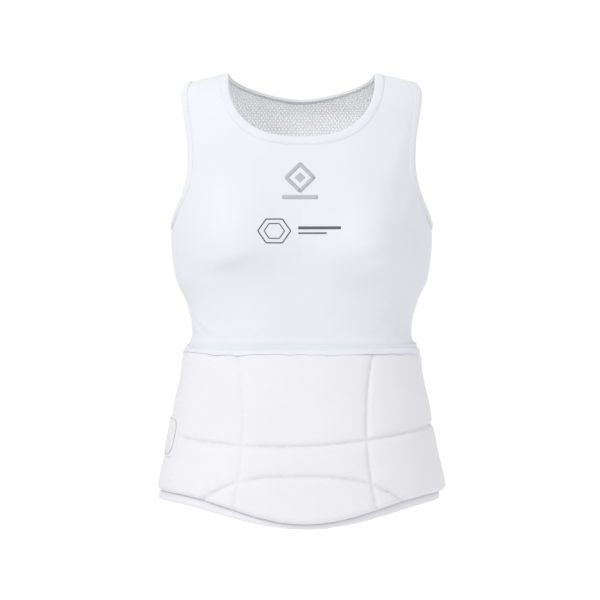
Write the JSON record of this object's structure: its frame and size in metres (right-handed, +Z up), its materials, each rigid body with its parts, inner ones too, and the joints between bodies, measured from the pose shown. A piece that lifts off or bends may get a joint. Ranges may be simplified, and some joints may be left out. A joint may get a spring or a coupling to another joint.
{
  "type": "chest protector",
  "caption": "Sleeveless karate chest protector: stretch vest with two moulded breast cups over a quilted foam abdomen pad that closes behind with an elastic strap.",
  "frame": {"origin": "on the torso's axis at the waist seam, midway between the side seams", "axes": "+Z up along the torso; the wearer faces -Y; +X is the wearer's left"},
  "size_m": [0.3366, 0.2252, 0.525],
  "materials": {
    "vest_knit": "smooth stretch knit, faint sheen",
    "vest_mesh": "eyelet mesh knit, matte",
    "binding_tape": "folded stretch tape, matte",
    "cup_plastic": "satin",
    "foam": "closed-cell foam, matte",
    "lining_knit": "light knit, matte",
    "pad_knit": "fine mesh knit over foam, matte",
    "elastic": "woven elastic, matte",
    "tab_tape": "woven tape, matte",
    "hook_tape": "hook tape, matte",
    "loop_tape": "brushed loop tape, matte"
  },
  "bodies": {
    "vest": {"front_panel": "vest_knit", "back_panel": "vest_mesh", "neck_binding": "binding_tape", "armhole_binding_left": "binding_tape", "armhole_binding_right": "binding_tape", "cup_shell_left": "cup_plastic", "cup_shell_right": "cup_plastic", "cup_foam_left": "foam", "cup_foam_right": "foam", "cup_lining": "lining_knit", "waist_band": "vest_knit", "waist_elastic": "elastic", "pad_backing": "lining_knit", "pad_cover": "pad_knit", "bottom_binding": "binding_tape", "rear_binding_left": "binding_tape", "rear_binding_right": "binding_tape", "strap_anchor": "elastic", "loop_patch": "loop_tape", "foam_upper_left": "foam", "foam_upper_centre": "foam", "foam_upper_right": "foam", "foam_middle_left": "foam", "foam_middle_centre": "foam", "foam_middle_right": "foam", "foam_lower_left": "foam", "foam_lower_centre": "foam", "foam_lower_right": "foam"},
    "strap": {"closure_strap": "elastic"},
    "tab": {"hook_tab": "tab_tape", "hook_face": "hook_tape"}
  },
  "joints": [
    {"name": "strap_swing", "type": "hinge", "parent": "vest", "child": "strap", "pos_m": [0.10925, 0.0861, -0.094], "axis": [0, 0.21, -0.9777], "range_deg": [0, 100]},
    {"name": "tab_peel", "type": "hinge", "parent": "strap", "child": "tab", "pos_m": [-0.1083, 0.08615, -0.094], "axis": [0, 0.21, -0.9777], "range_deg": [0, 80]}
  ]
}
